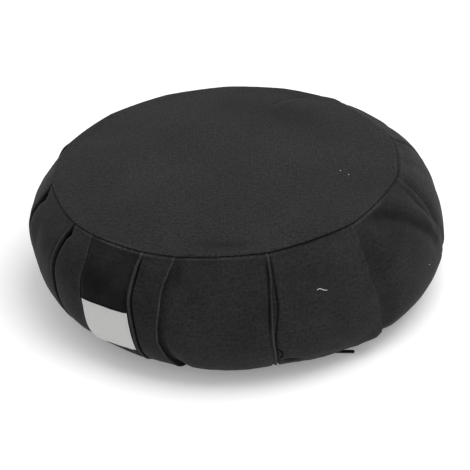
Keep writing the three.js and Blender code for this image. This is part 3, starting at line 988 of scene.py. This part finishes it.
class CUSHION_OT_base_panel(bpy.types.Operator):
    """Lays the flat base panel, with its edge rolled into the base seam"""

    bl_idname = "cushion.base_panel"
    bl_label = "Base Panel"

    # Cross-section from the middle out and back: share of the way out, distance in from there and height
    section = [
        (0, 0, 0), (0.4, 0, 0), (0.8, 0, 0), (1, 1.6, 0), (1, 0.5, 0.35),
        (1, 0, 1.0), (1, 0.5, 1.65), (1, 1.6, 2.0), (0.8, 0, 2.0), (0, 0, 2.0),
    ]
    columns = 240

    def execute(self, context):
        rows = []
        for share, inset, height in self.section:
            radius = BASE_EDGE * share - inset
            ring = []
            for step in range(self.columns):
                angle = math.radians(360 * step / self.columns)
                point = Vector((radius * math.sin(angle), -radius * math.cos(angle), height))
                ring.append((point, 0, 0, 0))
            rows.append(ring)
        panel = make_panel("base_cover", "base_canvas", rows)
        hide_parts("base_panel")
        return {"FINISHED"}


def band_raise(index, bearing, level):
    """How far the cloth of a sector stands out at a bearing and a level, where it isn't folded under."""
    start, radius, path = sector_path(index, level)
    across = math.radians(bearing - start) * radius
    low, high = 0.0, NOSE - 0.01
    for _ in range(24):
        middle = (low + high) / 2
        if spline(path, int(middle), middle % 1)[0] < across:
            low = middle
        else:
            high = middle
    return spline(path, int(low), low % 1)[1]


def label_point(along, down, lift=0):
    """A point of the label's outer face, at shares of the way along it and down it."""
    left = [lerp(LABEL["top_left"][axis], LABEL["low_left"][axis], down) for axis in (0, 1)]
    right = [lerp(LABEL["top_right"][axis], LABEL["low_right"][axis], down) for axis in (0, 1)]
    bearing = lerp(left[0], right[0], along)
    level = lerp(left[1], right[1], along)
    cloth = band_raise(LABEL["sector"], bearing, level) + band_relief(bearing, level)[0]
    raised = max(cloth, LABEL["lowest"]) + LABEL["clearance"] + LABEL["thickness"]
    return side_point(bearing, level, raised + lift)


class CUSHION_OT_label(bpy.types.Operator):
    """Sews the blank label on the band"""

    bl_idname = "cushion.label"
    bl_label = "Label"

    # Steps along the label and down it, and half its width and height as its weave is laid out
    columns = 36
    lines = 30
    weave_reach = (25, 20)

    def execute(self, context):
        bm = bmesh.new()
        bmesh.ops.create_grid(bm, x_segments=self.columns, y_segments=self.lines, size=1)
        uv_layer = bm.loops.layers.uv.new("cloth")
        for face in bm.faces:
            for loop in face.loops:
                spot = loop.vert.co
                loop[uv_layer].uv = [spot[axis] * self.weave_reach[axis] * MM for axis in (0, 1)]
        for vert in bm.verts:
            vert.co = label_point((vert.co.x + 1) / 2, (1 - vert.co.y) / 2) * MM
        bmesh.ops.solidify(bm, geom=bm.faces[:], thickness=LABEL["thickness"] * MM)
        label = make_object("label_patch", bm, label_ribbon(), "label_cloth")
        bevel = label.modifiers.new("folded_edge", "BEVEL")
        bevel.width = 0.25 * MM
        bevel.segments = 2
        bevel.limit_method = "ANGLE"
        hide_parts("label")
        wide = (label_point(1, 0.5) - label_point(0, 0.5)).length * MM
        tall = (label_point(0.5, 1) - label_point(0.5, 0)).length * MM
        self.sew(context.scene.cushion_label, wide, tall)
        return {"FINISHED"}

    def sew(self, sizes, wide, tall):
        """A row of stitches just inside the label's four edges."""
        bm = bmesh.new()
        aside = sizes.stitch_inset / wide
        down = sizes.stitch_inset / tall
        corners = [(aside, down), (1 - aside, down), (1 - aside, 1 - down), (aside, 1 - down)]
        for start, end in zip(corners, corners[1:] + corners[:1]):
            run = math.hypot((end[0] - start[0]) * wide, (end[1] - start[1]) * tall)
            count = round(run / sizes.stitch_pitch)
            for step in range(count):
                near, far = (
                    label_point(lerp(start[0], end[0], share), lerp(start[1], end[1], share), 0.05)
                    for share in ((step + 0.16) / count, (step + 0.84) / count)
                )
                made = bmesh.ops.create_icosphere(bm, subdivisions=1, radius=0.5)
                turn = (far - near).to_track_quat("X", "Z").to_matrix().to_4x4()
                size = Matrix.Diagonal(((far - near).length * 1.1, 0.42, 0.34, 1))
                matrix = Matrix.Scale(MM, 4) @ Matrix.Translation((near + far) / 2) @ turn @ size
                bmesh.ops.transform(bm, matrix=matrix, verts=made["verts"])
        make_object("label_stitches", bm, spun_thread("label_thread", linear("#c9c9c6")), "label_cloth")


class CUSHION_OT_zip_pull(bpy.types.Operator):
    """Casts the zip's pull, which lies out on the floor"""

    bl_idname = "cushion.zip_pull"
    bl_label = "Zip Pull"

    # Sizes of the pull in millimetres, and the angle at which it lies in degrees
    length = 28
    width = 3.6
    neck_width = 2.4
    neck_length = 6
    thickness = 1.4
    rim = 0.7
    recess = 0.35
    rounding = 0.2
    turn = -1
    arc_steps = 12

    def execute(self, context):
        bm = bmesh.new()
        neck = self.neck_width / 2
        half = self.width / 2
        shank = self.neck_length
        outline = [(0, -neck), (shank, -neck), (shank + 1, -half)]
        centre = self.length - half - 0.1
        for step in range(self.arc_steps + 1):
            angle = -math.pi / 2 + math.pi * step / self.arc_steps
            outline.append((centre + half * math.cos(angle), half * math.sin(angle)))
        outline += [(shank + 1, half), (shank, neck), (0, neck)]
        face = bm.faces.new([bm.verts.new((x, y, 0)) for x, y in outline])
        made = bmesh.ops.extrude_face_region(bm, geom=[face])["geom"]
        raised = [item for item in made if isinstance(item, bmesh.types.BMVert)]
        bmesh.ops.translate(bm, vec=(0, 0, self.thickness), verts=raised)
        bmesh.ops.recalc_face_normals(bm, faces=bm.faces[:])
        top = max(bm.faces, key=lambda item: item.calc_center_median().z)
        bmesh.ops.inset_region(bm, faces=[top], thickness=self.rim, depth=0)
        bmesh.ops.translate(bm, vec=(0, 0, -self.recess), verts=top.verts)
        sharp = [edge for edge in bm.edges if edge.calc_face_angle(0) > math.radians(50)]
        settings = dict(segments=3, profile=0.5, affect="EDGES", material=-1, clamp_overlap=True)
        bmesh.ops.bevel(bm, geom=sharp, offset=self.rounding, **settings)
        low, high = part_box("zip_pull")
        turn = math.radians(self.turn)
        aside = (low.y + high.y) / 2 / MM - self.length / 2 * math.sin(turn)
        start = Matrix.Translation((low.x / MM, aside, low.z / MM))
        matrix = Matrix.Scale(MM, 4) @ start @ Matrix.Rotation(turn, 4, "Z")
        bmesh.ops.transform(bm, matrix=matrix, verts=bm.verts)
        pull = make_object("zip_tab", bm, stove_enamel(), "zip_enamel")
        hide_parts("zip_pull")
        return {"FINISHED"}


def fibre(name, line, thickness, material, slot):
    """A short loose fibre through a few points, a round tube that thins out at both ends."""
    curve = bpy.data.curves.new(name, "CURVE")
    curve.dimensions = "3D"
    curve.bevel_depth = thickness / 2 * MM
    curve.bevel_resolution = 2
    curve.use_fill_caps = True
    run = curve.splines.new("BEZIER")
    run.bezier_points.add(len(line) - 1)
    for spot, point in zip(run.bezier_points, line):
        spot.co = point * MM
        spot.handle_left_type = spot.handle_right_type = "AUTO"
    run.bezier_points[0].radius = run.bezier_points[-1].radius = 0.5
    made = bpy.data.objects.new(name, curve)
    bpy.context.scene.collection.objects.link(made)
    mesh = bpy.data.meshes.new_from_object(made)
    bpy.data.objects.remove(made)
    add_piece(name, mesh, material, slot)


class CUSHION_OT_lint(bpy.types.Operator):
    """Leaves a few white fibres of lint on the cloth, and a black loop that stands in for the shadow round
    a small pucker
    """

    bl_idname = "cushion.lint"
    bl_label = "Lint"

    # The sector they lie on, and bearing, level and height above the cloth along the fibre and along the
    # black loop, which is a painted shadow round the pucker at the sixth pleat's foot. One speck lies on
    # the next sector, and two on the top, whose places are in millimetres.
    sector = 5
    fibre_line = [(24.3, 0.236, 0.5), (25.2, 0.232, 0.8), (26, 0.244, 0.8), (27.3, 0.255, 0.5)]
    painted_shadow_line = [
        (11.5, 0.54, 0.9), (12.2, 0.55, 0.9), (12.8, 0.58, 0.9), (12.5, 0.61, 0.9), (11.9, 0.63, 0.9)
    ]
    band_speck = (65.9, 0.447, 0.2)
    top_specks = [(104.2, -31.2), (111.5, -38)]

    def execute(self, context):
        cotton = spun_thread("lint_cotton", linear("#f2f2f0"))
        line = [self.on_band(self.sector, *spot) for spot in self.fibre_line]
        fibre("lint_thread", line, 0.42, cotton, "label_cloth")
        # A near-black loop with little gloss, a painted shadow: it draws the shade round the pucker at the
        # sixth pleat's foot
        line = [self.on_band(self.sector, *spot) for spot in self.painted_shadow_line]
        painted_shadow_thread = spun_thread("painted_shadow_thread", linear("#020202"), gloss=0.05)
        fibre("painted_shadow_loop", line, 1.0, painted_shadow_thread, "band_cloth")
        bm = bmesh.new()
        specks = [self.on_band(self.sector + 1, *self.band_speck)]
        for x, y in self.top_specks:
            bearing = math.degrees(math.atan2(x, -y))
            specks.append(top_point(bearing, math.hypot(x, y) / SEAM_RADIUS, 0, -0.25, 1))
        for number, spot in enumerate(specks):
            made = bmesh.ops.create_icosphere(bm, subdivisions=2, radius=0.5)
            for vert in made["verts"]:
                vert.co *= 1 + 0.5 * noise.noise(vert.co * 3 + Vector((number * 7, 0, 0)))
            matrix = Matrix.Scale(MM, 4) @ Matrix.Translation(spot) @ Matrix.Diagonal((0.95, 0.7, 0.4, 1))
            bmesh.ops.transform(bm, matrix=matrix, verts=made["verts"])
        make_object("lint_specks", bm, cotton, "label_cloth")
        return {"FINISHED"}

    def on_band(self, sector, bearing, level, lift):
        cloth = band_raise(sector, bearing, level) + band_relief(bearing, level)[0]
        return side_point(bearing, level, cloth + lift)


class CUSHION_OT_stage(bpy.types.Operator):
    """Sets the floor, the softboxes and the camera"""

    bl_idname = "cushion.stage"
    bl_label = "Stage"

    # Where the camera looks, in millimetres, and how far off, how high and how long its lens is
    target = (-2.1, 0, 39)
    distance = 1500
    elevation = 31.4
    lens = 124

    def execute(self, context):
        stage = context.scene.cushion_stage
        bm = bmesh.new()
        bmesh.ops.create_grid(bm, x_segments=2, y_segments=2, size=6)
        bmesh.ops.translate(bm, vec=(0, 0, -0.3 * MM), verts=bm.verts)
        floor = make_object("floor", bm, studio_paper(stage.floor_colour, stage.glow))
        self.softbox("overhead", (0.45, -0.1, 1.6), 1.3, stage.overhead_power)
        self.softbox("right", (0.9, 1.3, 0.8), 0.8, stage.side_power)
        world = bpy.data.worlds.new("studio")
        world.use_nodes = True
        background = world.node_tree.nodes["Background"]
        background.inputs["Color"].default_value = (1, 1, 1, 1)
        background.inputs["Strength"].default_value = stage.sky
        context.scene.world = world
        context.scene.view_settings.view_transform = "Standard"
        self.camera(context)
        return {"FINISHED"}

    def softbox(self, name, spot, size, power):
        light = bpy.data.lights.new(name, "AREA")
        light.size = size
        light.energy = power
        lamp = bpy.data.objects.new(name, light)
        lamp.location = spot
        lamp.rotation_euler = (Vector((0, 0, 0.06)) - Vector(spot)).to_track_quat("-Z", "Y").to_euler()
        bpy.context.scene.collection.objects.link(lamp)

    def camera(self, context):
        target = Vector(self.target) * MM
        elevation = math.radians(self.elevation)
        away = Vector((0, -math.cos(elevation), math.sin(elevation)))
        data = bpy.data.cameras.new("camera")
        data.lens = self.lens
        data.sensor_width = 36
        camera = bpy.data.objects.new("camera", data)
        camera.location = target + self.distance * MM * away
        camera.rotation_euler = (target - camera.location).to_track_quat("-Z", "Y").to_euler()
        context.scene.collection.objects.link(camera)
        context.scene.camera = camera


class CUSHION_PT_panel(bpy.types.Panel):
    """Lists the steps that dress the cushion"""

    bl_idname = "CUSHION_PT_panel"
    bl_label = "Meditation Cushion"
    bl_space_type = "VIEW_3D"
    bl_region_type = "UI"
    bl_category = "Cushion"

    def draw(self, context):
        for place_in_scene in GROUPS:
            group = getattr(context.scene, place_in_scene)
            for name in group.bl_rna.properties.keys():
                if name not in ("rna_type", "name"):
                    self.layout.prop(group, name)
        for operator in OPERATORS:
            self.layout.operator(operator.bl_idname)


GROUPS = {
    "cushion_sizes": CushionSizes,
    "cushion_cloth": CushionCloth,
    "cushion_label": CushionLabel,
    "cushion_stage": CushionStage,
}
OPERATORS = (
    CUSHION_OT_body,
    CUSHION_OT_top_panel,
    CUSHION_OT_base_panel,
    CUSHION_OT_label,
    CUSHION_OT_zip_pull,
    CUSHION_OT_lint,
    CUSHION_OT_stage,
)


def register():
    for group in GROUPS.values():
        bpy.utils.register_class(group)
    for name, group in GROUPS.items():
        setattr(bpy.types.Scene, name, PointerProperty(type=group))
    for operator in OPERATORS:
        bpy.utils.register_class(operator)
    bpy.utils.register_class(CUSHION_PT_panel)


def unregister():
    bpy.utils.unregister_class(CUSHION_PT_panel)
    for operator in reversed(OPERATORS):
        bpy.utils.unregister_class(operator)
    for name, group in reversed(GROUPS.items()):
        delattr(bpy.types.Scene, name)
        bpy.utils.unregister_class(group)


def main():
    register()
    for operator in OPERATORS:
        group, name = operator.bl_idname.split(".")
        getattr(getattr(bpy.ops, group), name)()
    bpy.context.view_layer.update()


if __name__ == "__main__":
    main()
